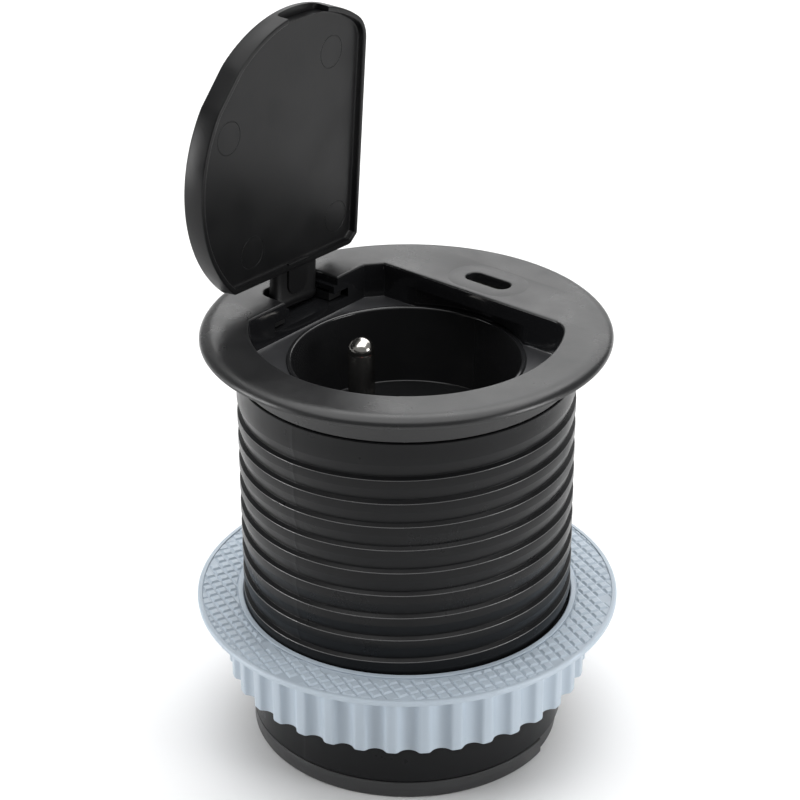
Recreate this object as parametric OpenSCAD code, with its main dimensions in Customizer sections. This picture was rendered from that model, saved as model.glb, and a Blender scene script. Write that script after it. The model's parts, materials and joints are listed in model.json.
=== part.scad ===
// Desk grommet power socket: a threaded barrel for a 60 mm desk hole, a round
// flange with a hinged lid over a recessed socket and a USB-C port, and a
// screw-up clamp nut under the desk. Millimetres, +Z up, origin at the centre
// of the base. The lid hinges on the -X side and the USB-C port is on +Y.

/* [Flange] */
// Outer radius of the flange that rests on the desk
flange_r = 35.5; // [34:0.5:38]
// Height of the flange's top face
flange_top = 79; // [79:0.5:82]
// Thickness of the flange at its rim
flange_rim = 1.8; // [1.5:0.1:2.4]
// Radius of the round side of the lid opening
opening_r = 27; // [26.5:0.1:27]
// Distance from the axis to the opening's straight hinge side
opening_back = 21.7; // [21.5:0.1:22]
// Distance from the axis to the opening's straight USB side
opening_side = 17; // [16.5:0.1:17.2]

/* [Lid] */
// Gap between the lid and the opening
lid_gap = 0.4; // [0.35:0.05:0.5]
// Depth of the lid, from its top face to its rim
lid_depth = 4.2; // [3.6:0.1:4.4]
// Angle at which the open lid stands
lid_open = 88.4; // [0:0.2:90]
// Slant of the hinge pin in its short knuckle
hinge_slant = 3.2; // [0:0.1:3.4]

/* [Barrel] */
// Radius of the thread's crest, for a 60 mm desk hole
crest_r = 29.5; // [29.2:0.05:29.5]
// Radius at the bottom of the thread groove
root_r = 28.8; // [28.5:0.05:29]
// Rise of the thread in one turn
pitch = 4.42; // [4:0.01:5]
// Number of flat sides that make up one turn of the thread
sides = 48; // [36:12:60]

/* [Clamp nut] */
// Outer radius of the clamp ring
ring_r = 37.88; // [36:0.02:40]
// Height of the clamp ring's top face
ring_top = 26.9; // [24:0.1:40]
// Radius over the nut's ribs
nut_r = 32.6; // [32.4:0.1:34]
// Number of flutes around the nut
flutes = 36; // [24:1:40]

/* [Socket] */
// Inner radius of the plug recess
cup_in = 19.8; // [19.5:0.1:19.9]
// Height of the recess floor
cup_floor = 58; // [57.5:0.5:59]
// Radius of the earth pin and of the plug's own pins
pin_r = 2.4; // [2.4:0.1:2.4]

/* [Hidden] */
$fn = 96;
e = 0.01;                   // overshoot of a cut past a face

collar_r = 29.3;            // flange collar, just inside the desk hole
collar_in = 28;
collar_bot = 71.55;
plate_bot = flange_top - 3; // underside of the plate around the opening
rim_w = 2.5;                // rounded outer edge of the flange
back_cut = 25.7;            // flats that cut the opening's two corners
arc_cut = 23.95;
corner_gap = 0.95;          // more room for the lid at the corner by the hinge

deck_top = 72.4;            // floor of the lid well
deck_bot = 70.9;
liner_r = 27.9;
cup_out = 20.7;
cup_rim = 72.75;

hinge_x = -26.4;
hinge_z = 76.2;
hinge_pin_r = 0.6;
knuckle_r = 1.4;
knuckle_half = 5.5;
pocket_half = 5.9;          // pocket in the flange around the knuckle
shelf_half = 7.2;           // wider, shallower part of the pocket
pocket_x = -28.1;
pocket_bot = 74.4;

contact_y = 9.5;            // live and neutral holes are 19 mm apart
earth_x = -10.3;
usb_y = 22.8;
usb_w = 8.94;
usb_t = 3.16;

barrel_top = 71.4;
barrel_bot = 3.4;
barrel_in = 27.2;
foot_r = 28.3;              // plain lower end of the barrel
shoulder_z = 15;
crest_z = 64.56;            // height of a crest edge at azimuth crest_az
crest_az = -50.2;
flat_h = 1.6;               // height of the crest
flank_h = 2.35;             // height of the sloping flank under it
seam_az = 70;               // azimuth of the thread's two ends
top_crest = crest_z + pitch * (seam_az - crest_az) / 360;
turns = floor((top_crest - shoulder_z - 0.5) / pitch);

ring_t = 1;
neck_r = 30.6;
nut_bore = crest_r + 0.08;
nut_bot = 12.4;
flute_r = 2;
flute_at = nut_r + 0.8;

base_h = 3.2;
gland_r = 5;
inlet_r = 3.6;
pillars = [30, 150, 270];   // azimuths of the inner frame's pillars
pillar_at = 24.1;
pillar_r = 2.6;
post_bot = 62;              // where the liner's posts meet the pillars
board_bot = 11;
board_top = 12.6;
board_screw_az = [0, 120, 240];
board_screw_at = 23.5;

// -- shared shapes ----------------------------------------------------------

// The half plane that reaches d from the axis in direction a
module half(d, a) {
    rotate(a) translate([d - 100, -100]) square([100, 200]);
}

// Outline of the lid opening, grown by g: a disc cut straight on the hinge
// side and on the USB side, with a flat across each of the two corners. The
// corner by the hinge can be cut back by some more.
module opening(g = 0, corner = 0) {
    intersection() {
        circle(opening_r + g);
        half(opening_back + g, 180);
        half(opening_side + g, 90);
        half(back_cut + g - corner, 140);
        half(arc_cut + g, 64.5);
    }
}

// A slot with round ends, w long and t wide
module stadium(w, t) {
    for (s = [-1, 1]) translate([s * (w - t) / 2, 0]) circle(d = t, $fn = 32);
    square([w - t, t], center = true);
}

// Places its children on the slanted hinge axis, with Z along that axis
module on_hinge() {
    translate([hinge_x, 0, hinge_z]) rotate([90 - hinge_slant, 0, 0]) children();
}

module at_az(list, r) {
    for (a = list) rotate(a) translate([r, 0, 0]) rotate(-a) children();
}

// A round wire of radius r through the points, with n sides
module wire(points, r, n = 8) {
    count = len(points);
    function along(i) = let (d = points[min(i + 1, count - 1)] - points[max(i - 1, 0)]) d / norm(d);
    function side(i) = let (s = cross(along(i), [0.13, 0.21, 0.97])) s / norm(s);
    verts = [for (i = [0:count - 1]) let (u = side(i), v = cross(along(i), u))
             for (k = [0:n - 1]) points[i] + r * (cos(360 * k / n) * u + sin(360 * k / n) * v)];
    walls = [for (i = [0:count - 2]) for (k = [0:n - 1]) let (q = (k + 1) % n)
             [i * n + k, (i + 1) * n + k, (i + 1) * n + q, i * n + q]];
    ends = [[for (k = [0:n - 1]) k], [for (k = [n - 1:-1:0]) (count - 1) * n + k]];
    polyhedron(verts, concat(walls, ends), convexity = 10);
}

// A pan-head screw pointing along -Z with its head on z = 0
module screw(r, length, head_r, head_h) {
    difference() {
        union() {
            cylinder(r = head_r, h = head_h, $fn = 32);
            translate([0, 0, -length]) cylinder(r = r, h = length + e, $fn = 32);
        }
        for (a = [0, 90]) rotate(a)
            translate([-head_r * 0.6, -0.25, head_h - 0.6]) cube([head_r * 1.2, 0.5, 1]);
    }
}

// -- flange and well --------------------------------------------------------

module flange() {
    round_top = [for (a = [0:15:90]) [flange_r - rim_w + rim_w * cos(a), flange_top - 1.5 + 1.5 * sin(a)]];
    color("#2e2f31") difference() {
        union() {
            difference() {
                rotate_extrude() polygon(concat(
                    [[0, plate_bot], [collar_in, plate_bot], [collar_in, collar_bot], [collar_r, collar_bot],
                     [collar_r, flange_top - flange_rim], [flange_r - 0.4, flange_top - flange_rim]],
                    round_top, [[0, flange_top]]));
                translate([0, 0, plate_bot - 1]) linear_extrude(5) opening();
            }
            intersection() {        // bosses that hold the hinge pin
                translate([pocket_x, -9.6, pocket_bot]) cube([5.2, 19.2, plate_bot - pocket_bot + 0.5]);
                translate([0, 0, pocket_bot - 1]) cylinder(r = collar_in + 0.5, h = 4);
            }
        }
        translate([pocket_x, -pocket_half, pocket_bot - 1]) cube([8, 2 * pocket_half, 8]);
        translate([pocket_x, -shelf_half, 77.4]) cube([8, 2 * shelf_half, 3]);
        translate([0, usb_y, plate_bot - 1]) linear_extrude(5) stadium(9.3, 3.5);
        on_hinge() cylinder(r = hinge_pin_r, h = 16.6, center = true, $fn = 32);
        for (s = [-1, 1]) translate([s * 14.5, 20.5, plate_bot - 1]) cylinder(r = 1.1, h = 2.8, $fn = 32);
    }
}

module well_liner() {
    color("#111214") difference() {
        union() {
            translate([0, 0, deck_bot]) cylinder(r = liner_r, h = deck_top - deck_bot);
            translate([0, 0, deck_top - e]) linear_extrude(plate_bot - deck_top + e) intersection() {
                circle(liner_r);
                union() {
                    opening(0.9);
                    translate([-28, opening_side]) square([56, 20]);
                }
            }
            translate([0, 0, 66]) cylinder(r = barrel_in - 0.05, h = deck_bot - 66 + e);
            at_az(pillars, pillar_at) translate([0, 0, post_bot]) cylinder(r = pillar_r, h = 9, $fn = 48);
        }
        difference() {              // inside of the spigot, around the posts
            translate([0, 0, 65]) cylinder(r = 26, h = deck_bot - 65);
            at_az(pillars, pillar_at) translate([0, 0, 64]) cylinder(r = pillar_r, h = 9, $fn = 48);
        }
        translate([0, 0, deck_top]) linear_extrude(5) {
            opening();
            circle(cup_out + 0.2);
        }
        translate([0, 0, 60]) cylinder(r = cup_out, h = 20);
        translate([0, usb_y, 60]) linear_extrude(20) square([usb_w + 0.1, usb_t + 0.1], center = true);
        translate([-30, -9.7, pocket_bot - 0.2]) cube([10, 19.4, 4]);
        at_az(pillars, pillar_at) translate([0, 0, post_bot - 1]) cylinder(r = 1.25, h = 8, $fn = 32);
        for (s = [-1, 1]) translate([s * 14.5, 20.5, 60]) {
            cylinder(r = 1.1, h = 20, $fn = 32);
            cylinder(r = 2.1, h = deck_bot - 60, $fn = 32);
        }
    }
}

// -- threaded barrel --------------------------------------------------------

// A ring of points around the axis
function ring(r, z) = [for (i = [0:sides - 1]) [r * cos(360 * i / sides), r * sin(360 * i / sides), z]];

// A helix of points, one flat side apart, over t sides
function helix(r, z, t) = [for (i = [0:t])
    [r * cos(360 * i / sides), r * sin(360 * i / sides), z + pitch * i / sides]];

// One closed mesh. Going up, each turn has a crest edge (a), a narrow step in
// to the groove (c), a long flank out to the crest (b), and the crest itself.
module barrel() {
    n = sides;
    t = n * turns;
    low = top_crest - pitch * turns;
    step_h = pitch - flat_h - flank_h;
    a = 3 * n;
    c = a + t + n + 1;
    b = c + t + 1;
    top = b + t + 1;
    function band(p, q) = [for (i = [0:n - 1]) [p + i, q + i, q + (i + 1) % n, p + (i + 1) % n]];
    function strip(p, q, count) = [for (i = [0:count - 1]) each
        [[p + i, q + i, q + i + 1], [p + i, q + i + 1, p + i + 1]]];
    // fans that close the thread's lower and upper ends
    function fan(tip, loop) = [for (i = [0:len(loop) - 2]) [tip, loop[i], loop[i + 1]]];
    color("#26272a") rotate(seam_az) polyhedron(
        concat(ring(foot_r, barrel_bot), ring(foot_r, shoulder_z), ring(crest_r, shoulder_z),
               helix(crest_r, low, t + n), helix(root_r, low + step_h, t),
               helix(crest_r, low + step_h + flank_h, t),
               ring(crest_r, barrel_top), ring(liner_r + 0.05, barrel_top),
               ring(liner_r + 0.05, deck_bot), ring(barrel_in, deck_bot), ring(barrel_in, barrel_bot)),
        concat(band(0, n), band(n, 2 * n), strip(2 * n, a, n - 1),
               fan(a + n - 1, [a + n, b, c, a, 2 * n, 3 * n - 1]),
               strip(a, c, t), strip(c, b, t), strip(b, a + n, t),
               fan(a + t + 1, [a + t, c + t, b + t, a + t + n, top, top + 1]),
               strip(a + t + 1, top + 1, n - 2),
               [[a + t + n - 1, top + n - 1, top], [a + t + n - 1, top, a + t + n]],
               band(top, top + n), band(top + n, top + 2 * n), band(top + 2 * n, top + 3 * n),
               band(top + 3 * n, top + 4 * n), band(top + 4 * n, 0)),
        convexity = 20);
}

// -- lid --------------------------------------------------------------------

module lid() {
    s = hinge_slant;
    rim_z = flange_top - lid_depth;
    back = opening_back - lid_gap;
    color("#303134")
    translate([hinge_x, 0, hinge_z]) rotate(a = lid_open, v = [0, -cos(s), sin(s)])
    translate([-hinge_x, 0, -hinge_z]) difference() {
        union() {
            difference() {
                translate([0, 0, rim_z]) linear_extrude(lid_depth) opening(-lid_gap, corner_gap);
                translate([0, 0, rim_z - 1]) linear_extrude(2.1) intersection() {
                    opening(-lid_gap - 0.95, corner_gap);
                    half(back - 2.2, 180);
                }
                // the hinge side leans in, to clear the flange as the lid swings
                translate([0, 30, 0]) rotate([90, 0, 0]) linear_extrude(60) polygon([
                    [-back - 1, flange_top + 1], [-back, flange_top], [-back + 1.25, rim_z - e], [-back - 1, rim_z - 1]]);
                // finger notch in the wall at the tip
                translate([opening_r - 1.9, -5.4, rim_z - 1]) cube([4, 10.8, 3.9]);
            }
            translate([hinge_x, -knuckle_half + 0.2, hinge_z - 0.9])
                cube([-back + 2 - hinge_x, 2 * knuckle_half - 0.4, 2]);
            on_hinge() cylinder(r = knuckle_r, h = 2 * knuckle_half, center = true, $fn = 48);
        }
        on_hinge() cylinder(r = hinge_pin_r + 0.05, h = 20, center = true, $fn = 32);
    }
}

module hinge_pin() {
    color("#b9bcc0") on_hinge() cylinder(r = hinge_pin_r, h = 16.4, center = true, $fn = 32);
}

// -- socket -----------------------------------------------------------------

module socket_cup() {
    color("#0d0e10") difference() {
        translate([0, 0, 56]) cylinder(r = cup_out, h = cup_rim - 56);
        translate([0, 0, cup_floor]) cylinder(r = cup_in, h = 30);
        for (s = [-1, 1]) translate([0, s * contact_y, 50]) cylinder(r = 2.8, h = 20, $fn = 48);
        translate([earth_x, 0, 50]) cylinder(r = pin_r, h = 20, $fn = 48);
    }
}

module contact_carrier() {
    color("#3a3b3e") difference() {
        translate([0, 0, 40]) cylinder(r = cup_out, h = 16);
        difference() {              // the shutter's chamber
            translate([-9, -13, 52.8]) cube([22, 26, 4]);
            translate([earth_x, 0, 50]) cylinder(r = 3.8, h = 10, $fn = 48);
        }
        for (s = [-1, 1]) translate([0, s * contact_y, 30]) cylinder(r = 3.5, h = 23, $fn = 48);
        translate([earth_x, 0, 30]) cylinder(r = 3.2, h = 17, $fn = 48);
        translate([earth_x, 0, 30]) cylinder(r = pin_r, h = 30, $fn = 48);
    }
}

module earth_pin() {
    color("#c9cbcd") translate([earth_x, 0, 0]) {
        translate([0, 0, 45]) cylinder(r = 3.1, h = 2, $fn = 48);
        translate([0, 0, 45]) cylinder(r = pin_r, h = 73 - pin_r - 45, $fn = 48);
        translate([0, 0, 73 - pin_r]) intersection() {
            sphere(r = pin_r, $fn = 48);
            translate([0, 0, 2]) cube([10, 10, 4.1], center = true);
        }
    }
}

module earth_strap() {
    color("#c9a35a") translate([earth_x, 0, 0]) {
        translate([0, 0, 44]) cylinder(r = 3, h = 1, $fn = 48);
        translate([-0.6, -2, 33.5]) cube([1.2, 4, 10.6]);
    }
}

// A sprung tube that grips one pin of the plug, with a tail for its terminal
module contact() {
    difference() {
        translate([0, 0, 42]) cylinder(r = 3.3, h = 10.5, $fn = 48);
        translate([0, 0, 43]) cylinder(r = pin_r + 0.05, h = 12, $fn = 48);
        translate([-0.4, -5, 44.5]) cube([0.8, 10, 10]);
    }
    translate([-2, -0.6, 33.5]) cube([4, 1.2, 8.6]);
}

module live_contact() { color("#c9a35a") translate([0, contact_y, 0]) contact(); }
module neutral_contact() { color("#c9a35a") translate([0, -contact_y, 0]) contact(); }

// Blocks both contact holes at rest; its two windows line up with them when
// a plug's pins have pushed it 5.4 mm towards +X against the spring
module shutter() {
    color("#7c2f2a") difference() {
        translate([-8.7, -12.7, 53.1]) cube([12.9, 25.4, 2.6]);
        translate([earth_x, 0, 50]) cylinder(r = 4.1, h = 10, $fn = 48);
        for (s = [-1, 1]) translate([-5.4, s * contact_y, 50]) cylinder(r = 2.7, h = 10, $fn = 48);
        translate([3, 0, 54.4]) rotate([0, 90, 0]) cylinder(r = 1.1, h = 3, $fn = 24);
    }
}

module shutter_spring() {
    coils = 6;
    color("#a9adb2") wire([for (i = [0:coils * 10])
        [3.3 + 9.4 * i / (coils * 10), 0.8 * cos(36 * i), 54.4 + 0.8 * sin(36 * i)]], 0.15, 5);
}

module terminal_block() {
    color("#d8d6cf") difference() {
        translate([-14, -13.5, 29]) cube([19, 27, 9]);
        for (s = [-1, 1]) translate([0, s * contact_y, 0]) {
            translate([-2.1, -0.7, 33.4]) cube([4.2, 1.4, 6]);
            translate([0, 0, 28]) cylinder(r = 1.5, h = 5.4 + e, $fn = 32);
            translate([1, 0, 31.2]) rotate([0, 90, 0]) cylinder(r = 1.2, h = 9, $fn = 32);
        }
        translate([earth_x - 0.7, -2.1, 33.4]) cube([1.4, 4.2, 6]);
        translate([earth_x, 0, 28]) cylinder(r = 1.5, h = 5.4 + e, $fn = 32);
        translate([-16, 0, 31.2]) rotate([0, 90, 0]) cylinder(r = 1.2, h = 5, $fn = 32);
    }
}

module terminal_screws() {
    color("#b9bcc0") {
        for (s = [-1, 1]) translate([5, s * contact_y, 31.2]) rotate([0, 90, 0]) screw(1.2, 3, 1.9, 1.2);
        translate([-14, 0, 31.2]) rotate([0, -90, 0]) screw(1.2, 1.6, 1.9, 1.2);
    }
}

// -- USB-C port and charger -------------------------------------------------

module usb_shell() {
    color("#9fa2a6") translate([0, usb_y, 0]) difference() {
        translate([0, 0, 65.4]) linear_extrude(12) stadium(usb_w, usb_t);
        translate([0, 0, 67]) linear_extrude(12) stadium(usb_w - 0.6, usb_t - 0.6);
    }
}

module usb_tongue() {
    color("#17181a") translate([-3.3, usb_y - 0.35, 67]) cube([6.6, 0.7, 9.2]);
}

module usb_board() {
    color("#1f5a3c") translate([-8, 21.3, 64]) cube([16, 4.1, 1.4]);
}

module usb_leads() {
    color("#b0222a") for (x = [-3, -1, 1, 3]) translate([x, 23.4, board_top])
        cylinder(r = 0.5, h = 64 - board_top, $fn = 16);
}

module power_board() {
    color("#1f5a3c") difference() {
        translate([0, 0, board_bot]) cylinder(r = 26.4, h = board_top - board_bot);
        at_az(pillars, pillar_at) translate([0, 0, 5]) cylinder(r = pillar_r + 0.3, h = 20, $fn = 48);
        at_az(pillars, 27) translate([0, 0, 15]) cube([5, 5.8, 20], center = true);
        at_az(board_screw_az, board_screw_at) translate([0, 0, 5]) cylinder(r = 1.2, h = 20, $fn = 32);
    }
}

module transformer() {
    color("#c8b13a") translate([-17, 0, board_top]) {
        translate([0, -7, 0]) cube([14, 14, 2]);
        translate([1, -5, 2]) cube([12, 10, 9]);
        translate([0, -7, 11]) cube([14, 14, 2]);
    }
}

module capacitors() {
    color("#20242c") for (s = [-1, 1]) translate([9, s * 5.2, board_top]) {
        cylinder(r = 4.2, h = 13.4, $fn = 48);
        translate([0, 0, 13.4 - e]) cylinder(r = 3.6, h = 0.3, $fn = 48);
    }
}

module choke() {
    color("#3b3d40") translate([0, -17, board_top]) {
        cylinder(r = 3.6, h = 1.2, $fn = 48);
        cylinder(r = 2.6, h = 7, $fn = 48);
        translate([0, 0, 5.8]) cylinder(r = 3.6, h = 1.2, $fn = 48);
    }
}

module fuse() { color("#6f4a2c") translate([9, -15, board_top]) cylinder(r = 2.2, h = 8, $fn = 32); }

module supply_leads() {
    color("#8a5a3a") for (s = [-1, 1]) translate([0, s * contact_y, board_top])
        cylinder(r = 1.1, h = 33.4 - board_top, $fn = 24);
}

// -- frame, base and fasteners ----------------------------------------------

module inner_frame() {
    color("#4a4b4e") difference() {
        union() {
            difference() {
                translate([0, 0, 9]) cylinder(r = 26.8, h = board_bot - 9);
                translate([0, 0, 8]) cylinder(r = 20.5, h = 5);
            }
            at_az(pillars, pillar_at) translate([0, 0, base_h]) cylinder(r = pillar_r, h = post_bot - base_h, $fn = 48);
        }
        at_az(pillars, pillar_at) translate([0, 0, -1]) cylinder(r = 1.35, h = 70, $fn = 32);
        at_az(board_screw_az, board_screw_at) translate([0, 0, 5]) cylinder(r = 0.9, h = 20, $fn = 32);
    }
}

module flange_screws() {
    color("#b9bcc0") for (s = [-1, 1]) translate([s * 14.5, 20.5, deck_bot])
        rotate([180, 0, 0]) screw(1.1, 6.8, 2, 1.4);
}

module tie_screws() {
    color("#8f9296") at_az(pillars, pillar_at) translate([0, 0, 2])
        rotate([180, 0, 0]) screw(1.25, 65, 2.4, 1.6);
}

module board_screws() {
    color("#b9bcc0") at_az(board_screw_az, board_screw_at) translate([0, 0, board_top])
        screw(0.9, 3.4, 1.9, 1.2);
}

module base_cover() {
    color("#2a2b2e") difference() {
        union() {
            cylinder(r = foot_r, h = base_h);
            // spigot inside the barrel, cut away around the pillars
            difference() {
                translate([0, 0, base_h - 0.5]) cylinder(r = barrel_in - 0.05, h = 4.5);
                cylinder(r = 26, h = 10);
                at_az(pillars, pillar_at) cylinder(r = pillar_r + 0.05, h = 9, $fn = 48);
            }
        }
        // latch recess in the rim
        rotate(8) rotate_extrude(angle = 40) translate([foot_r - 0.8, -1]) square([3, base_h + 2]);
        at_az(pillars, pillar_at) {
            translate([0, 0, -1]) cylinder(r = 1.35, h = 10, $fn = 32);
            translate([0, 0, -1]) cylinder(r = 2.6, h = 3, $fn = 32);
        }
        translate([0, 0, -1]) cylinder(r = gland_r, h = 9, $fn = 64);
        for (a = [45:90:315]) rotate(a) translate([10, -5, -1]) for (i = [0:2])
            translate([i * 3.4, 0, 0]) cube([1.4, 10, 9]);
    }
}

module inlet_gland() {
    color("#18191b") difference() {
        union() {
            translate([0, 0, 0.4]) cylinder(r = gland_r, h = 6.6, $fn = 64);
            translate([0, 0, base_h]) cylinder(r = gland_r + 1.6, h = 1.4, $fn = 64);
        }
        translate([0, 0, -1]) cylinder(r = inlet_r, h = 10, $fn = 64);
    }
}

// -- clamp ring and nut -----------------------------------------------------

module clamp_ring() {
    color("#b4c0cb") rotate_extrude() polygon([
        [neck_r + 0.05, ring_top - ring_t], [ring_r - 0.25, ring_top - ring_t], [ring_r, ring_top - ring_t + 0.25],
        [ring_r, ring_top - 0.35], [ring_r - 0.35, ring_top], [neck_r + 0.05, ring_top]]);
}

module lock_nut() {
    shoulder = ring_top - ring_t - 0.3;
    color("#b4c0cb") union() {
        difference() {
            translate([0, 0, nut_bot]) linear_extrude(shoulder - nut_bot) difference() {
                circle(nut_r);
                for (i = [0:flutes - 1]) rotate(360 * i / flutes) translate([flute_at, 0]) circle(flute_r, $fn = 32);
            }
            translate([0, 0, nut_bot - 1]) cylinder(r = nut_bore, h = 20);
        }
        difference() {
            translate([0, 0, shoulder - 0.5]) cylinder(r = neck_r, h = ring_top - shoulder + 0.5);
            translate([0, 0, nut_bot]) cylinder(r = nut_bore, h = 20);
        }
    }
}

flange();
well_liner();
barrel();
lid();
hinge_pin();
socket_cup();
contact_carrier();
earth_pin();
earth_strap();
live_contact();
neutral_contact();
shutter();
shutter_spring();
terminal_block();
terminal_screws();
usb_shell();
usb_tongue();
usb_board();
usb_leads();
power_board();
transformer();
capacitors();
choke();
fuse();
supply_leads();
inner_frame();
flange_screws();
tie_screws();
board_screws();
base_cover();
inlet_gland();
clamp_ring();
lock_nut();
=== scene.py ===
import json
import math

import bmesh
import bpy
from mathutils import Matrix, Vector
from mathutils.geometry import tessellate_polygon


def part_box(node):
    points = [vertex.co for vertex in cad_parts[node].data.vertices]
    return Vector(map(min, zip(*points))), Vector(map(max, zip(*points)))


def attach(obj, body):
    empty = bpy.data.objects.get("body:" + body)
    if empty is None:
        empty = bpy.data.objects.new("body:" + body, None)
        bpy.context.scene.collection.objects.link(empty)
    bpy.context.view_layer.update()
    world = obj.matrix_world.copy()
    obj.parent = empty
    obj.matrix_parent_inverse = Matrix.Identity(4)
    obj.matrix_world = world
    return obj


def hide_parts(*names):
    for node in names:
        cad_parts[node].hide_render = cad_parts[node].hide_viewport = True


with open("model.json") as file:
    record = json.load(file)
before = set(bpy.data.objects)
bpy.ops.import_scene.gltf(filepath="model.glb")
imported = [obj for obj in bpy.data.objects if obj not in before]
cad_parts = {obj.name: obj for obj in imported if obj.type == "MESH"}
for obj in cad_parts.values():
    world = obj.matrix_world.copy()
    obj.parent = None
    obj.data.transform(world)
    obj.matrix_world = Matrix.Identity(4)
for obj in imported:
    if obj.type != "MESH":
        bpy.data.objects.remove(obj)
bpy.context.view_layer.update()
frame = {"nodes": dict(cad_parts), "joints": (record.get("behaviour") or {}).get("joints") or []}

MM = 0.001
CREASE = 32                             # an edge sharper than this many degrees is shaded as an edge


def low(node):
    """Lowest corner of a CAD node, in millimetres."""
    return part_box(node)[0] / MM


def high(node):
    """Highest corner of a CAD node, in millimetres."""
    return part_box(node)[1] / MM


# -- sizes, in millimetres, worked out from the frame --------------------------

TOP = high("flange").z                  # top face of the flange and of the closed lid
FLANGE_R = high("flange").x
COLLAR_BOT = low("flange").z
PLATE_BOT = TOP - 3                     # underside of the plate round the lid opening
RIM_BOT = TOP - 1.8
COLLAR_R, COLLAR_IN = 29.3, 28.0
DECK_TOP = PLATE_BOT - 3.6              # floor of the lid well
DECK_BOT = DECK_TOP - 1.5
LINER_R = COLLAR_IN - 0.1
CUP_R = high("socket_cup").x
CUP_IN = CUP_R - 0.9
CUP_RIM = high("socket_cup").z
CUP_FLOOR = low("socket_cup").z + 2
BARREL_TOP = high("barrel").z
BARREL_BOT = low("barrel").z
CREST_R = high("barrel").x
ROOT_R = CREST_R - 0.7
BORE_R = 27.2
SPIGOT_IN = 26.0                        # inside of the skirts that fit in the barrel's bore
FOOT_R = high("base_cover").x
BASE_H = BARREL_BOT - 0.2
RING_TOP = high("clamp_ring").z
RING_R = high("clamp_ring").x
RING_BOT = low("clamp_ring").z
NECK_R = CREST_R + 1.1
NUT_BOT = low("lock_nut").z
NUT_R = 32.6
NUT_BORE = CREST_R + 0.08
FLUTES = 36
PITCH = 4.42
USB_Y = high("usb_board").y - 2.6       # centre of the USB slot
EARTH_X = (low("earth_strap").x + high("earth_strap").x) / 2
PIN_R = high("earth_pin").x - EARTH_X - 0.7
PIN_TOP = high("earth_pin").z

HINGE = next(j for j in frame["joints"] if j["name"] == "lid_hinge")
HINGE_AT = Vector(HINGE["pos_m"]) / MM
HINGE_AXIS = Vector(HINGE["axis"])
LID_OPEN = 88.4                         # how far the lid stands open at rest, in degrees
LID_GAP = 0.3


# -- mesh building -------------------------------------------------------------

class Shape:
    """Collects the points and faces of one mesh, in millimetres."""

    def __init__(self):
        self.points = []
        self.faces = []

    def loop(self, points):
        """Adds points and gives their numbers."""
        start = len(self.points)
        self.points += [tuple(p) for p in points]
        return list(range(start, len(self.points)))

    def strip(self, a, b, closed=True):
        """Quads between two rows with as many points as each other."""
        for i in range(len(a) if closed else len(a) - 1):
            j = (i + 1) % len(a)
            self.faces.append((a[i], a[j], b[j], b[i]))

    def skin(self, loops, closed=True):
        """Quads through a list of rows."""
        for a, b in zip(loops, loops[1:]):
            self.strip(a, b, closed)

    def fill(self, *loops):
        """A flat face inside the first loop, with the others as holes."""
        numbers = [i for loop in loops for i in loop]
        outlines = [[Vector(self.points[i]) for i in loop] for loop in loops]
        for corners in tessellate_polygon(outlines):
            self.faces.append(tuple(numbers[k] for k in corners))

    def prism(self, rows):
        """A closed solid through rows, with a flat face on the first and the last."""
        self.skin(rows)
        self.fill(rows[0])
        self.fill(rows[-1])


def flat(points, z):
    """Points of an outline, at a height."""
    return [(p[0], p[1], z) for p in points]


def circle(r, count, centre=(0, 0)):
    turn = 2 * math.pi / count
    return [(centre[0] + r * math.cos(i * turn), centre[1] + r * math.sin(i * turn))
            for i in range(count)]


def radial(points, r):
    """The points of an outline moved out or in to a circle about the axis."""
    return [(x * r / math.hypot(x, y), y * r / math.hypot(x, y)) for x, y in points]


def stadium(w, t, count=12, centre=(0, 0)):
    """A slot outline with round ends, w long and t wide."""
    points = []
    for s, start in ((1, -90), (-1, 90)):
        for i in range(count + 1):
            a = math.radians(start + 180 * i / count)
            middle = centre[0] + s * (w - t) / 2
            points.append((middle + t / 2 * math.cos(a), centre[1] + t / 2 * math.sin(a)))
    return points


def rounded(corners, closed=True, step=18):
    """A line through (x, y, radius) corners, with each corner turned into an arc."""
    out = []
    for i, (x, y, r) in enumerate(corners):
        if r <= 0 or (not closed and i in (0, len(corners) - 1)):
            out.append((x, y))
            continue
        p = Vector((x, y))
        a = (Vector(corners[i - 1][:2]) - p).normalized()
        b = (Vector(corners[(i + 1) % len(corners)][:2]) - p).normalized()
        half = a.angle(b) / 2
        centre = p + (a + b).normalized() * (r / math.sin(half))
        first = p + a * (r / math.tan(half)) - centre
        last = p + b * (r / math.tan(half)) - centre
        start = math.atan2(first.y, first.x)
        sweep = (math.atan2(last.y, last.x) - start + math.pi) % (2 * math.pi) - math.pi
        count = max(1, math.ceil(abs(math.degrees(sweep)) / step))
        for k in range(count + 1):
            t = start + sweep * k / count
            out.append((centre.x + r * math.cos(t), centre.y + r * math.sin(t)))
    return out


def between(a, b, count):
    """The count points that divide the way from a to b, without b itself."""
    return [(a[0] + (b[0] - a[0]) * i / count, a[1] + (b[1] - a[1]) * i / count)
            for i in range(count)]


def revolve(shape, profile, count=144, centre=(0, 0), closed=True):
    """Turns an (r, z) profile about an upright axis; a closed profile makes a ring."""
    rows = [shape.loop(flat(circle(r, count, centre), z)) for r, z in profile]
    shape.skin(rows)
    if closed:
        shape.strip(rows[-1], rows[0])
    return rows


def solid(shape, profile, count=48, centre=(0, 0)):
    """As revolve, for a profile whose two ends are closed by flat faces."""
    rows = revolve(shape, profile, count, centre, closed=False)
    shape.fill(rows[0])
    shape.fill(rows[-1])
    return rows


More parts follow.
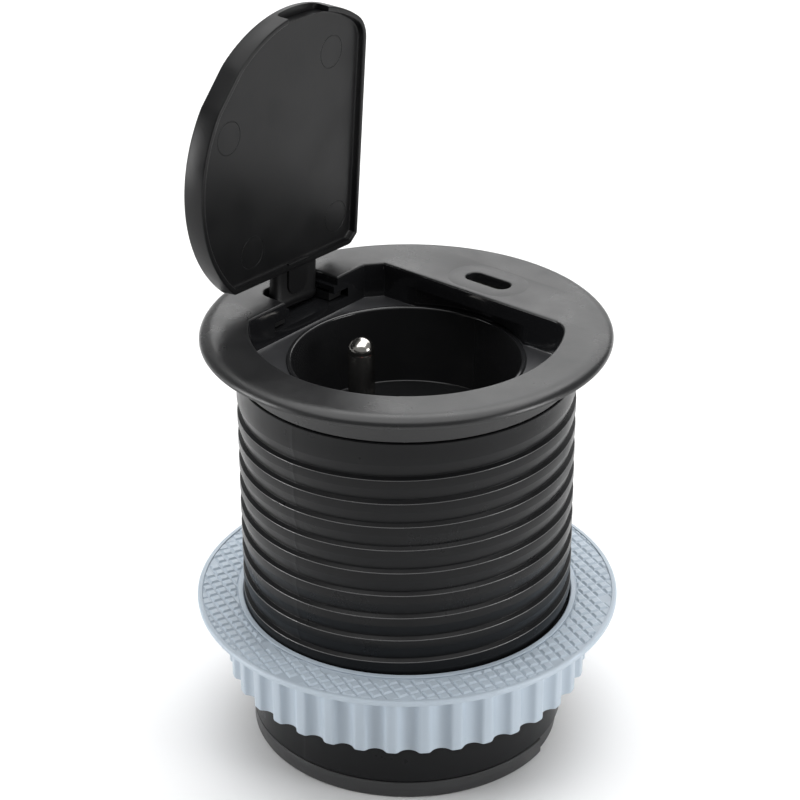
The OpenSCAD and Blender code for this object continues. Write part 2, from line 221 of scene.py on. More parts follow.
def make(name, shape, crease=CREASE):
    """Turns a shape into a Blender object with outward normals and crisp edges."""
    mesh = bpy.data.meshes.new(name)
    mesh.from_pydata([[c * MM for c in p] for p in shape.points], [], shape.faces)
    bm = bmesh.new()
    bm.from_mesh(mesh)
    bmesh.ops.remove_doubles(bm, verts=bm.verts, dist=1e-7)
    bmesh.ops.dissolve_degenerate(bm, edges=bm.edges, dist=1e-7)
    bmesh.ops.recalc_face_normals(bm, faces=bm.faces)
    bm.to_mesh(mesh)
    bm.free()
    finish_mesh(mesh, crease)
    obj = bpy.data.objects.new(name, mesh)
    bpy.context.scene.collection.objects.link(obj)
    return obj


def finish_mesh(mesh, crease=CREASE):
    """Shades the mesh smooth, apart from its creases."""
    mesh.polygons.foreach_set("use_smooth", [True] * len(mesh.polygons))
    mesh.set_sharp_from_angle(angle=math.radians(crease))
    mesh.update()


def cut(obj, cutter):
    """Takes the cutter's solid out of the piece and removes the cutter."""
    step = obj.modifiers.new("cut", "BOOLEAN")
    step.operation, step.solver, step.object = "DIFFERENCE", "EXACT", cutter
    bpy.context.view_layer.update()
    graph = bpy.context.evaluated_depsgraph_get()
    mesh = bpy.data.meshes.new_from_object(obj.evaluated_get(graph))
    obj.modifiers.clear()
    old, obj.data = obj.data, mesh
    bpy.data.meshes.remove(old)
    bpy.data.objects.remove(cutter)
    finish_mesh(mesh)


def place(obj, material, body, slot, *replaced):
    """Gives a piece its material and the body it rides on, and hides the nodes it replaces; slot is not
    used.
    """
    obj.data.materials.clear()
    obj.data.materials.append(material)
    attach(obj, body)
    if replaced:
        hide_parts(*replaced)
    return obj


def second_finish_and_painted_light(obj, material, chosen):
    """Gives some faces a second material: a glossier finish on the flange's walls, and a paler copy that
    paints light on the deck and the thread's crests; chosen sees a face's middle in millimetres and its
    normal's Z.
    """
    obj.data.materials.append(material)
    for face in obj.data.polygons:
        if chosen(face.center / MM, face.normal.z):
            face.material_index = 1
    return obj


# -- materials -----------------------------------------------------------------

class Nodes:
    """Short names for building one material's nodes."""

    def __init__(self, name):
        self.material = bpy.data.materials.new(name)
        self.material.use_nodes = True
        self.tree = self.material.node_tree
        self.shader = self.tree.nodes["Principled BSDF"]

    def add(self, kind, **settings):
        node = self.tree.nodes.new(kind)
        for key, value in settings.items():
            if key in node.inputs:
                node.inputs[key].default_value = value
            else:
                setattr(node, key, value)
        return node

    def link(self, output, target):
        self.tree.links.new(output, target)

    def place(self, scale=(1, 1, 1)):
        """Object coordinates, stretched by scale."""
        mapping = self.add("ShaderNodeMapping")
        mapping.inputs["Scale"].default_value = scale
        self.link(self.add("ShaderNodeTexCoord").outputs["Object"], mapping.inputs["Vector"])
        return mapping.outputs["Vector"]

    def noise(self, per_mm, detail=2, where=None, roughness=0.5):
        node = self.add("ShaderNodeTexNoise")
        node.inputs["Scale"].default_value = per_mm / MM
        node.inputs["Detail"].default_value = detail
        node.inputs["Roughness"].default_value = roughness
        self.link(where or self.place(), node.inputs["Vector"])
        return node.outputs["Fac"]

    def range(self, value, low_in, high_in, low_out, high_out):
        node = self.add("ShaderNodeMapRange")
        limits = {"From Min": low_in, "From Max": high_in, "To Min": low_out, "To Max": high_out}
        for key, number in limits.items():
            node.inputs[key].default_value = number
        self.link(value, node.inputs["Value"])
        return node.outputs["Result"]

    def math(self, kind, a, b):
        node = self.add("ShaderNodeMath", operation=kind)
        for socket, value in zip(node.inputs, (a, b)):
            if isinstance(value, (int, float)):
                socket.default_value = value
            else:
                self.link(value, socket)
        return node.outputs["Value"]

    def mix(self, amount, a, b):
        node = self.add("ShaderNodeMix", data_type="RGBA")
        self.link(amount, node.inputs["Factor"])
        for socket, value in ((node.inputs[6], a), (node.inputs[7], b)):
            if isinstance(value, tuple):
                socket.default_value = (*value, 1)
            else:
                self.link(value, socket)
        return node.outputs[2]

    def bump(self, height, distance_mm, strength=1.0, under=None):
        node = self.add("ShaderNodeBump")
        node.inputs["Strength"].default_value = strength
        node.inputs["Distance"].default_value = distance_mm * MM
        self.link(height, node.inputs["Height"])
        if under:
            self.link(under, node.inputs["Normal"])
        return node.outputs["Normal"]

    def edges(self, start=0.53, stop=0.62):
        """1 on worn outer edges, 0 elsewhere."""
        return self.range(self.add("ShaderNodeNewGeometry").outputs["Pointiness"], start, stop, 0, 1)

    def set(self, **values):
        for key, value in values.items():
            socket = self.shader.inputs[key.replace("_", " ")]
            if isinstance(value, (int, float)):
                socket.default_value = value
            elif isinstance(value, tuple):
                socket.default_value = (*value, 1)
            else:
                self.link(value, socket)


def moulded(name, colour, rough, grain=0.0, spread=0.06, gloss_spread=0.08, worn=0.35, specular=0.5):
    """Injection-moulded plastic: spark-eroded grain, flow marks, handling shine and paler worn edges."""
    n = Nodes(name)
    flow = n.noise(0.06, 3, n.place((1, 1, 0.4)))
    dust = n.noise(1.9, 4, roughness=0.7)
    edge = n.math("MULTIPLY", n.edges(), worn)
    darker = tuple(c * (1 - spread) for c in colour)
    paler = tuple(min(1, c * (1 + spread)) for c in colour)
    body = n.mix(n.range(flow, 0.3, 0.7, 0, 1), darker, paler)
    speck = tuple(min(1, c * 1.5 + 0.01) for c in colour)
    body = n.mix(n.range(dust, 0.68, 0.8, 0, 0.35), body, speck)
    body = n.mix(edge, body, speck)
    shine = n.range(n.noise(0.11, 4, roughness=0.6), 0.3, 0.7, rough - gloss_spread, rough + gloss_spread)
    shine = n.math("SUBTRACT", shine, n.math("MULTIPLY", edge, 0.1))
    n.set(Base_Color=body, Roughness=shine, Specular_IOR_Level=specular)
    ripple = n.bump(n.noise(0.35, 2), 0.02, 0.5)
    if grain:
        voronoi = n.add("ShaderNodeTexVoronoi", feature="SMOOTH_F1")
        voronoi.inputs["Scale"].default_value = 3.2 / MM
        n.link(n.place(), voronoi.inputs["Vector"])
        ripple = n.bump(voronoi.outputs["Distance"], grain, 0.8, ripple)
        ripple = n.bump(n.noise(5.5, 3, roughness=0.7), grain * 0.7, 0.8, ripple)
    n.set(Normal=ripple)
    return n.material


def metal(name, colour, rough, brushed=(1, 1, 1)):
    """Plated or drawn metal: fine directional marks and faint stains."""
    n = Nodes(name)
    stain = n.noise(0.25, 4, roughness=0.65)
    dull = tuple(c * 0.72 for c in colour)
    n.set(Base_Color=n.mix(n.range(stain, 0.45, 0.75, 0, 0.3), colour, dull), Metallic=1.0)
    marks = n.noise(3.5, 3, n.place(brushed), roughness=0.6)
    n.set(Roughness=n.range(marks, 0.3, 0.7, rough * 0.7, rough * 1.35))
    n.set(Normal=n.bump(marks, 0.004, 0.5))
    return n.material


def board():
    """Green circuit board with faint tracks under the solder mask and a woven-glass bump."""
    n = Nodes("circuit_board")
    tracks = n.add("ShaderNodeTexBrick", offset=0.5, squash=1.0)
    tracks.inputs["Scale"].default_value = 0.45 / MM
    tracks.inputs["Mortar Size"].default_value = 0.08
    tracks.inputs["Color1"].default_value = (0.004, 0.06, 0.03, 1)
    tracks.inputs["Color2"].default_value = (0.006, 0.08, 0.04, 1)
    tracks.inputs["Mortar"].default_value = (0.02, 0.16, 0.07, 1)
    n.link(n.place(), tracks.inputs["Vector"])
    body = n.mix(n.range(n.noise(0.6, 3), 0.4, 0.7, 0, 0.4), tracks.outputs["Color"], (0.01, 0.1, 0.05))
    n.set(Base_Color=body, Roughness=n.range(n.noise(0.3), 0.3, 0.7, 0.28, 0.42))
    n.set(Normal=n.bump(n.noise(2.2, 2), 0.01, 0.6))
    return n.material


MAT = {
    "flange": moulded("flange_plastic", (0.0125, 0.0127, 0.0133), 0.31, grain=0.006),
    "liner": moulded("liner_plastic", (0.0115, 0.0118, 0.013), 0.12, gloss_spread=0.05, worn=0.1),
    # painted reflection: a paler copy of the liner's black, laid on the well floor's upward faces to stand
    # in for the back light it reflects
    "deck": moulded("deck_painted_reflection", (0.034, 0.0345, 0.037), 0.34, worn=0.1, specular=0.6),
    "barrel": moulded("barrel_plastic", (0.0065, 0.0067, 0.0073), 0.32, grain=0.004, specular=0.18),
    # painted highlight: a paler copy of the barrel's black plastic, laid on the thread crests' upward faces
    # to stand in for their lit bands
    "crest": moulded("crest_painted_highlight", (0.1, 0.1, 0.102), 0.3, specular=0.6),
    "lid": moulded("lid_plastic", (0.0075, 0.0076, 0.008), 0.36, grain=0.004, specular=0.2),
    "cup": moulded("cup_plastic", (0.016, 0.0163, 0.0172), 0.14, gloss_spread=0.05, worn=0.1),
    "carrier": moulded("carrier_plastic", (0.04, 0.041, 0.045), 0.5, grain=0.008),
    "shutter": moulded("shutter_plastic", (0.19, 0.026, 0.02), 0.42, grain=0.004),
    "terminal": moulded("terminal_plastic", (0.68, 0.66, 0.6), 0.45, grain=0.006, worn=0.1),
    "black": moulded("black_plastic", (0.009, 0.0095, 0.0105), 0.4, grain=0.004),
    "insulation": moulded("lead_insulation", (0.42, 0.02, 0.024), 0.4, grain=0.004),
    "tape": moulded("winding_tape", (0.55, 0.4, 0.045), 0.3, worn=0.1),
    "sleeve": moulded("capacitor_sleeve", (0.012, 0.016, 0.025), 0.28, worn=0.3),
    "ferrite": moulded("ferrite", (0.035, 0.036, 0.039), 0.6, grain=0.02),
    "frame": moulded("frame_plastic", (0.06, 0.062, 0.066), 0.5, grain=0.01),
    "base": moulded("base_plastic", (0.028, 0.0282, 0.029), 0.4, grain=0.008),
    "gland": moulded("gland_rubber", (0.012, 0.012, 0.0125), 0.72, grain=0.012),
    "nut": moulded("nut_plastic", (0.42, 0.485, 0.55), 0.42, grain=0.005, spread=0.03, worn=0.25),
    "nickel": metal("nickel", (0.72, 0.70, 0.66), 0.17),
    "brass": metal("brass", (0.72, 0.49, 0.2), 0.3, (1, 1, 0.1)),
    "spring": metal("spring_steel", (0.5, 0.51, 0.53), 0.28, (0.1, 1, 1)),
    "zinc": metal("zinc_steel", (0.56, 0.57, 0.6), 0.34),
    "board": board(),
}


# -- outline of the lid opening ------------------------------------------------

OPENING_R = 27.0
SIDES = [(90.0, 17.0), (140.0, 25.7), (180.0, 21.7)]    # azimuth and distance of each straight side
SIDE_COUNTS = (32, 6)
BACK_COUNTS = (5, 4, 9, 4, 8)           # down the hinge side: to the pocket, in, across, out, and on
ARC_COUNT = 96
CORNER_COUNT = 6
POCKET_ROUND = 2.2                      # the pocket's two back corners


def arc(centre, r, a, b, count=CORNER_COUNT):
    """The count points of an arc from angle a to b, without the last."""
    turns = [a + (b - a) * k / count for k in range(count)]
    return [(centre[0] + r * math.cos(t), centre[1] + r * math.sin(t)) for t in turns]


def back_side(start, stop, pocket):
    """The straight hinge side from start to stop, round the pocket of (half width, depth)."""
    x = start[0]
    half, deep = pocket or (5.0, -x)
    r = min(POCKET_ROUND, x + deep)
    entry, turn = (x, half), (r - deep, half)
    path = between(start, entry, BACK_COUNTS[0]) + between(entry, turn, BACK_COUNTS[1])
    path += arc((r - deep, half - r), r, math.pi / 2, math.pi)
    path += between((-deep, half - r), (-deep, r - half), BACK_COUNTS[2])
    path += arc((r - deep, r - half), r, math.pi, 1.5 * math.pi)
    path += between((r - deep, -half), (x, -half), BACK_COUNTS[3])
    return path + between((x, -half), stop, BACK_COUNTS[4])


def opening(grow=0.0, corners=(0.4, 0.4, 0.4, 0.4), pocket=None, clear=0.0):
    """The lid opening's outline, grown by grow, with corners of the given radii. The side across the
    corner by the hinge comes in by clear. The number of points never changes, so that any two outlines
    can be joined."""
    r = OPENING_R + grow
    sides = [(math.radians(a), d + grow - (clear if i == 1 else 0)) for i, (a, d) in enumerate(SIDES)]
    arcs = []
    for i, radius in enumerate(corners):
        rho = max(radius, 0.02)
        if i in (0, len(sides)):
            a, d = sides[0] if i == 0 else sides[-1]
            at = a + (-1 if i == 0 else 1) * math.acos((d - rho) / (r - rho))
            centre = (r - rho) * Vector((math.cos(at), math.sin(at)))
            arcs.append((centre, rho, *((at, a) if i == 0 else (a, at))))
        else:
            (a, da), (b, db) = sides[i - 1], sides[i]
            da, db, det = da - rho, db - rho, math.sin(b - a)
            centre = Vector(((da * math.sin(b) - db * math.sin(a)) / det,
                             (db * math.cos(a) - da * math.cos(b)) / det))
            arcs.append((centre, rho, a, b))
    ends = [[tuple(centre + rho * Vector((math.cos(t), math.sin(t)))) for t in (a, b)]
            for centre, rho, a, b in arcs]
    points = []
    for i, (centre, rho, a, b) in enumerate(arcs):
        points += arc(centre, rho, a, b)
        if i < len(SIDE_COUNTS):
            points += between(ends[i][1], ends[i + 1][0], SIDE_COUNTS[i])
        elif i == len(SIDE_COUNTS):
            points += back_side(ends[i][1], ends[i + 1][0], pocket)
    return points + arc((0, 0), r, arcs[-1][3], arcs[0][2] + 2 * math.pi, ARC_COUNT)


# -- flange --------------------------------------------------------------------

OPENING_CORNERS = (5.0, 0.5, 0.5, 0.8)
POCKET_X, POCKET_HALF, SHELF_HALF = 28.1, 5.9, 6.9     # the hinge pocket, and the shelf over it
POCKET_BOT = 74.4
SHELF_Z = 77.4
BOSS_X, BOSS_HALF = 22.9, 9.6           # the bosses beside the pocket: inner face, and outer side
STEP_Z = 73.4                           # where the collar's bore widens round the liner
USB_SLOT = (9.3, 3.5)


def quarter(count=5):
    """Angles of a quarter turn, in radians."""
    return [math.pi / 2 * i / count for i in range(count + 1)]


def flange():
    s = Shape()
    edge, lip = 0.35, 0.25
    corner = OPENING_CORNERS

    def outline(grow, z, half):
        radii = tuple(max(c + grow, 0.05) for c in corner)
        return s.loop(flat(opening(grow, radii, (half + grow, POCKET_X + grow)), z))

    base = opening(0, corner, (POCKET_HALF, POCKET_X))
    bore = [(p, max(COLLAR_IN, math.hypot(*p) + 0.03) / math.hypot(*p)) for p in base]
    inner = [(x * scale, y * scale) for (x, y), scale in bore]

    def ring(r, z):
        return s.loop(flat(radial(base, r), z))

    bottom = ring(COLLAR_IN, COLLAR_BOT)
    under = [bottom, ring(COLLAR_IN, STEP_Z), s.loop(flat(inner, STEP_Z)), s.loop(flat(inner, PLATE_BOT))]
    s.skin(under)
    wall = [outline(0, PLATE_BOT, POCKET_HALF), outline(0, SHELF_Z, POCKET_HALF)]
    wall.append(outline(0, SHELF_Z, SHELF_HALF))
    wall += [outline(edge * (1 - math.cos(t)), TOP - edge + edge * math.sin(t), SHELF_HALF)
             for t in quarter(4)]
    wall.append(outline(edge + 0.3, TOP, SHELF_HALF))
    s.skin(wall)
    rim = [ring(FLANGE_R - 2.9, TOP)]
    rim += [ring(FLANGE_R - 2.5 + 2.5 * math.sin(t), TOP - 1.5 + 1.5 * math.cos(t)) for t in quarter(9)]
    rim += [ring(r, z) for r, z in (
        (FLANGE_R - 0.05, RIM_BOT + 0.1), (FLANGE_R - 0.2, RIM_BOT), (FLANGE_R - 0.6, RIM_BOT),
        (COLLAR_R + 0.3, RIM_BOT), (COLLAR_R + 0.08, RIM_BOT - 0.08), (COLLAR_R, RIM_BOT - 0.3),
        (COLLAR_R, COLLAR_BOT + 0.45), (COLLAR_R, COLLAR_BOT + 0.15), (COLLAR_R - 0.15, COLLAR_BOT))]
    rim.append(bottom)
    s.skin(rim)
    # the USB slot, with the faint outline of the insert round it

    def slot(grow, z):
        return s.loop(flat(stadium(*(side + 2 * grow for side in USB_SLOT), centre=(0, USB_Y)), z))

    hole = [slot(3.26, TOP), slot(3.18, TOP - 0.02), slot(3.10, TOP), slot(lip + 0.35, TOP)]
    hole += [slot(lip * (1 - math.sin(a)), TOP - lip + lip * math.cos(a)) for a in quarter(4)]
    hole.append(slot(0, PLATE_BOT))
    s.skin(hole)
    s.fill(rim[0], wall[-1], hole[0])
    s.fill(under[-1], wall[0], hole[-1])
    # bosses that hold the hinge pin, on both sides of the pocket
    for side in (-1, 1):
        back = -POCKET_X + 0.4
        box = rounded([(back, side * POCKET_HALF, 0), (-BOSS_X, side * POCKET_HALF, 0),
                       (-BOSS_X, side * BOSS_HALF, 0.8), (-BOSS_X - 3.3, side * BOSS_HALF, 0.3),
                       (back, side * (BOSS_HALF - 2), 0)])
        s.prism([s.loop(flat(box, z)) for z in (POCKET_BOT, PLATE_BOT + 0.4)])
    obj = place(make("flange_shell", s), MAT["flange"], "housing", "flange_plastic", "flange")

    def on_wall(at, up):
        return at.xy.length < POCKET_X + 0.3 and PLATE_BOT < at.z < TOP - 0.3 and up > -0.5

    return second_finish_and_painted_light(obj, MAT["liner"], on_wall)


# -- lid well ------------------------------------------------------------------

def well_liner():
    s = Shape()
    corner = OPENING_CORNERS
    alcove = CUP_R + 0.3
    reach = 9.7                         # half the width of the low stretch behind the hinge pocket

    def steep(points):
        """Brings the points beside the low stretch up to its ends, so that its steps are upright."""
        return [(x, math.copysign(reach + 0.02, y)) if x < -20 and reach + 0.01 < abs(y) < 11 else (x, y)
                for x, y in points]

    def wall_line(grow):
        points = opening(grow, tuple(max(c + grow, 0.05) for c in corner), (reach, SIDES[-1][1] + grow))
        return steep([(x, max(y, math.sqrt(max(alcove ** 2 - x * x, 0))) if y > 16 and abs(x) < 15 else y)
                      for x, y in points])

    base = steep(opening(0, corner, (reach, SIDES[-1][1])))
    sunk = [i for i, (x, y) in enumerate(base) if x < -20 and abs(y) < reach + 0.01]

    def ring(r, z):
        return s.loop(flat(radial(base, r), z))

    def top(points):
        """The wall is lower behind the hinge pocket."""
        return s.loop([(x, y, POCKET_BOT - 0.2 if i in sunk else PLATE_BOT)
                       for i, (x, y) in enumerate(points)])

    rows = [top(wall_line(0))]
    rows += [s.loop(flat(wall_line(-grow), DECK_TOP + z)) for grow, z in ((0, 0.3), (0.09, 0.09), (0.3, 0))]
    s.skin(rows)
    hole = [ring(CUP_R + 0.05, DECK_TOP), ring(CUP_R + 0.05, DECK_BOT)]
    s.skin(hole)
    s.fill(rows[-1], hole[0])
    skirt_bot = 66
    outer = [ring(SPIGOT_IN, DECK_BOT), ring(SPIGOT_IN, skirt_bot), ring(BORE_R - 0.05, skirt_bot),
             ring(BORE_R - 0.05, DECK_BOT), ring(LINER_R, DECK_BOT), ring(LINER_R, POCKET_BOT - 0.4),
             top(radial(base, LINER_R))]
    s.skin(outer)
    usb = rounded([(4.5 * i, USB_Y + 1.65 * j, 0.3) for i, j in ((-1, -1), (1, -1), (1, 1), (-1, 1))])
    shaft = [s.loop(flat(usb, PLATE_BOT)), s.loop(flat(usb, DECK_BOT))]
    s.skin(shaft)
    s.fill(outer[0], hole[1], shaft[1])
    # the wall's top: quads over the low stretch and its steps, and one face round the rest
    first, last = sunk[0] - 1, sunk[-1] + 1
    s.strip(outer[-1][first:last + 1], rows[0][first:last + 1], closed=False)
    around = [(last + k) % len(base) for k in range(len(base) - last + first + 1)]
    s.fill([outer[-1][i] for i in around] + [rows[0][i] for i in reversed(around)], shaft[0])
    obj = place(make("well_liner_shell", s), MAT["liner"], "housing", "liner_plastic", "well_liner")
    # the well floor's upward faces take the paler copy: a painted reflection of the back light
    return second_finish_and_painted_light(obj, MAT["deck"], lambda at, up: up > 0.5 and abs(at.z - DECK_TOP) < 0.2)


# -- socket --------------------------------------------------------------------

CONTACT_Y = 9.5


def socket_cup():
    """The plug recess: a glossy cup with a rounded rim, and holes for the plug's pins."""
    s = Shape()
    bottom = low("socket_cup").z
    wall = rounded([(CUP_R, bottom, 0), (CUP_R, CUP_RIM, 0.3), (CUP_IN, CUP_RIM, 0.45),
                    (CUP_IN - 0.02, CUP_FLOOR, 0.25), (17, CUP_FLOOR, 0)], False)
    rows = revolve(s, wall, closed=False)
    holes = [((0, side * CONTACT_Y), 2.8) for side in (-1, 1)] + [((EARTH_X, 0), PIN_R)]
    upper, lower = [], []
    for centre, r in holes:
        ring = revolve(s, [(r + 0.35, CUP_FLOOR), (r + 0.1, CUP_FLOOR - 0.1), (r, CUP_FLOOR - 0.35),
                           (r, bottom)], 48, centre, closed=False)
        upper.append(ring[0])
        lower.append(ring[-1])
    s.fill(rows[-1], *upper)
    s.fill(rows[0], *lower)
    return place(make("socket_recess", s), MAT["cup"], "housing", "cup_plastic", "socket_cup")


def earth_pin():
    """A domed nickel-plated pin; a fine line shows where the dome meets the shank."""
    s = Shape()
    foot = low("earth_pin").z
    head = PIN_TOP - PIN_R
    profile = [(0.02, PIN_TOP)]
    profile += [(PIN_R * math.sin(t), head + PIN_R * math.cos(t)) for t in quarter(12)[1:]]
    profile += [(PIN_R, head - 0.15), (PIN_R - 0.05, head - 0.25), (PIN_R - 0.05, head - 0.4),
                (PIN_R, head - 0.5), (PIN_R, foot + 2), (PIN_R + 0.6, foot + 2), (PIN_R + 0.7, foot + 1.9),
                (PIN_R + 0.7, foot)]
    solid(s, profile, 64, (EARTH_X, 0))
    return place(make("earth_contact_pin", s, 50), MAT["nickel"], "housing", "nickel", "earth_pin")


# -- threaded barrel -----------------------------------------------------------

SEAM = 70.0                             # azimuth where the thread starts and ends, at the back
CREST_Z, CREST_AZ = 64.56, -50.2        # a crest edge's height, and its azimuth
SHOULDER_Z = 15.0
TOP_CREST = CREST_Z + PITCH * (SEAM - CREST_AZ) / 360
TURNS = math.floor((TOP_CREST - SHOULDER_Z - 0.5) / PITCH)
PARTING = 0.012                         # how proud the mould's parting lines stand


def barrel():
    """One closed skin: a helical groove between two plain bands, with parting ridges at +Y and -Y."""
    s = Shape()
    even = [i * 2.0 for i in range(180)]
    ridges = [(side - SEAM) % 360 for side in (90, 270)]
    turn = sorted(set(even + [r + d for r in ridges for d in (-0.3, -0.1, 0.1, 0.3)]))
    proud = [PARTING if any(abs(a - r) <= 0.15 for r in ridges) else 0 for a in turn]
    n = len(turn)
    fade = n * 24 // 360
    total = TURNS * n
    start = TOP_CREST - PITCH * TURNS
    groove = rounded([(CREST_R, -0.8, 0), (CREST_R, 0, 0.17), (ROOT_R, 0.47, 0.10), (CREST_R, 2.82, 0.3),
                      (CREST_R, 3.6, 0)], False)[1:-1]

    def point(r, z, i):
        a = math.radians(turn[i % n] + SEAM)
        r += proud[i % n]
        return (r * math.cos(a), r * math.sin(a), z)

    def ring(r, z):
        return s.loop([point(r, z, i) for i in range(n)])

    def helix(r, z, count):
        line = []
        for i in range(count + 1):
            share = max(0.0, min(1.0, i / fade, (total - i) / fade))
            depth = (CREST_R - r) * share * share * (3 - 2 * share)
            line.append(point(CREST_R - depth, start + z + PITCH * (i // n + turn[i % n] / 360), i))
        return s.loop(line)

    shoulder = ring(CREST_R, SHOULDER_Z + 0.2)
    rows = [helix(r, z, total + (n if j == 0 else 0)) for j, (r, z) in enumerate(groove)]
    end = ring(CREST_R, BARREL_TOP - 0.15)
    for a, b in zip(rows, rows[1:]):
        s.strip(a[:total + 1], b, closed=False)
    s.strip(rows[-1], rows[0][n:], closed=False)
    s.strip(shoulder, rows[0][:n], closed=False)
    s.strip(rows[0][total + 1:total + n], end[1:], closed=False)
    # the last step round the seam, below and above the thread
    seam = [rows[0][n]] + [row[0] for row in reversed(rows)] + [shoulder[0], shoulder[-1]]
    s.faces += [(rows[0][n - 1], a, b) for a, b in zip(seam, seam[1:])]
    seam = [row[total] for row in rows] + [rows[0][total + n], end[0], end[1]]
    s.faces += [(rows[0][total + 1], a, b) for a, b in zip(seam, seam[1:])]
    s.faces.append((rows[0][total + n - 1], rows[0][total + n], end[0], end[-1]))
    inside = [ring(r, z) for r, z in (
        (CREST_R - 0.15, BARREL_TOP), (LINER_R + 0.05, BARREL_TOP), (LINER_R + 0.05, DECK_BOT),
        (BORE_R, DECK_BOT), (BORE_R, BARREL_BOT), (FOOT_R - 0.2, BARREL_BOT), (FOOT_R, BARREL_BOT + 0.2),
        (FOOT_R, SHOULDER_Z - 0.25), (FOOT_R + 0.25, SHOULDER_Z), (CREST_R - 0.2, SHOULDER_Z))]
    s.skin([end, *inside, shoulder])
    obj = place(make("threaded_barrel", s, 24), MAT["barrel"], "housing", "barrel_plastic", "barrel")

    # the thread crests' upward faces take the paler copy: a painted highlight for their lit bands
    def painted_highlight_faces(at, up):
        return at.xy.length > CREST_R - 0.14 and up > 0.25 and at.z < BARREL_TOP - 0.3

    return second_finish_and_painted_light(obj, MAT["crest"], painted_highlight_faces)


# -- base ----------------------------------------------------------------------

PILLARS = (30, 150, 270)                # azimuths of the tie screws
PILLAR_AT = 24.1
LATCH = (8.0, 48.0)                     # azimuths of the latch recess's ends
VENTS = (10.7, 14.1, 17.5)              # distances of the vents from the axis


def base_cover():
    """The round cover under the barrel: latch recess in its rim, vents, and counterbores for tie screws."""
    s = Shape()
    turn = sorted(set([i * 2.5 for i in range(144)] + [a + d for a in LATCH for d in (-0.3, 0.3)]))

    def ring(r, z):
        reach = [min(r, FOOT_R - 0.8) if LATCH[0] < a < LATCH[1] else min(r, FOOT_R) for a in turn]
        return s.loop([(far * math.cos(math.radians(a)), far * math.sin(math.radians(a)), z)
                       for a, far in zip(turn, reach)])

    rim = [ring(FOOT_R - 1, 0), ring(FOOT_R - 0.55, 0), ring(FOOT_R - 0.2, 0.12), ring(FOOT_R, 0.5),
           ring(FOOT_R, BASE_H - 0.15), ring(FOOT_R - 0.15, BASE_H), ring(BORE_R - 0.05, BASE_H)]
    s.skin(rim)
    spigot = [rim[-1], ring(BORE_R - 0.05, BASE_H + 3.9), ring(BORE_R - 0.15, BASE_H + 4),
              ring(SPIGOT_IN, BASE_H + 4), ring(SPIGOT_IN, BASE_H)]
    s.skin(spigot)
    lower, upper = [], []

    def hole(rows):
        lower.append(rows[0])
        upper.append(rows[-1])

    hole(revolve(s, [(5, 0), (5, BASE_H)], 64, closed=False))
    for a in PILLARS:
        at = (PILLAR_AT * math.cos(math.radians(a)), PILLAR_AT * math.sin(math.radians(a)))
        counterbore = [(2.7, 0), (2.6, 0.1), (2.6, 2), (1.35, 2), (1.35, BASE_H)]
        hole(revolve(s, counterbore, 32, at, closed=False))
    for a in range(45, 360, 90):
        turned = Matrix.Rotation(math.radians(a), 2)
        for x in VENTS:
            outline = [turned @ Vector((x + v, u)) for u, v in stadium(10, 1.4, 6)]
            rows = [s.loop(flat(outline, z)) for z in (0, BASE_H)]
            s.skin(rows)
            hole(rows)
    s.fill(rim[0], *lower)
    s.fill(spigot[-1], *upper)
    return place(make("base_plate", s), MAT["base"], "housing", "base_plastic", "base_cover")


def inlet_gland():
    """A soft bush in the cable hole, with a lip inside the cover."""
    s = Shape()
    bottom, top = low("inlet_gland").z, high("inlet_gland").z
    inner, outer, lip = 3.6, 5.0, high("inlet_gland").x
    profile = rounded([(inner, bottom, 0.5), (outer, bottom, 0.3), (outer, BASE_H, 0), (lip, BASE_H, 0.2),
                       (lip, BASE_H + 1.4, 0.5), (outer, BASE_H + 1.4, 0.2), (outer, top, 0.5),
                       (inner, top, 0.5)])
    revolve(s, profile, 72)
    return place(make("cable_bush", s), MAT["gland"], "housing", "gland_rubber", "inlet_gland")


# -- clamp ring and nut --------------------------------------------------------

PAD_PITCH = 2.0                         # the grip pads stand on a square grid
PAD_TURN = -23.2                        # azimuth of the grid's rows
PAD_SHIFT = (0.357, -0.337)             # where the grid starts, in pitches
PAD_RELIEF = 0.28
PAD_GROOVE = 0.1                        # half the width of the groove's floor
PAD_SLOPE = 0.34                        # how far each side of a pad leans in


def clip(points, normal, limit):
    """The part of a convex outline with dot(p, normal) up to limit."""
    out = []
    for a, b in zip(points, points[1:] + points[:1]):
        da, db = a.dot(normal) - limit, b.dot(normal) - limit
        if da <= 0:
            out.append(a)
        if da * db < 0:
            out.append(a + (b - a) * (da / (da - db)))
    return out


def shrink(points, distance):
    """A convex outline with each side moved in, or None where nothing would be left."""
    sides = [(a, (b - a).normalized()) for a, b in zip(points, points[1:] + points[:1])]
    moved = [(a + Vector((-d.y, d.x)) * distance, d) for a, d in sides]
    out = []
    for (p, d), (q, f) in zip(moved[-1:] + moved[:-1], moved):
        turn = d.x * f.y - d.y * f.x
        if abs(turn) < 0.02:
            return None
        out.append(p + d * (((q - p).x * f.y - (q - p).y * f.x) / turn))
    ahead = all((b - a).dot(side[1]) > 0.02 for a, b, side in zip(out, out[1:] + out[:1], sides))
    return out if ahead else None


def pad(square, bed):
    """Rows of one pyramid-sided pad on its foot outline; a narrow leftover becomes a low ridge."""
    for slope in (PAD_SLOPE, PAD_SLOPE * 0.6, PAD_SLOPE * 0.3):
        peak = shrink(square, slope)
        if peak:
            rise = PAD_RELIEF * slope / PAD_SLOPE
            near = shrink(square, slope * 0.82)
            return [(square, bed - 0.1), (square, bed), (near, bed + rise * 0.85), (peak, bed + rise)]
    return []


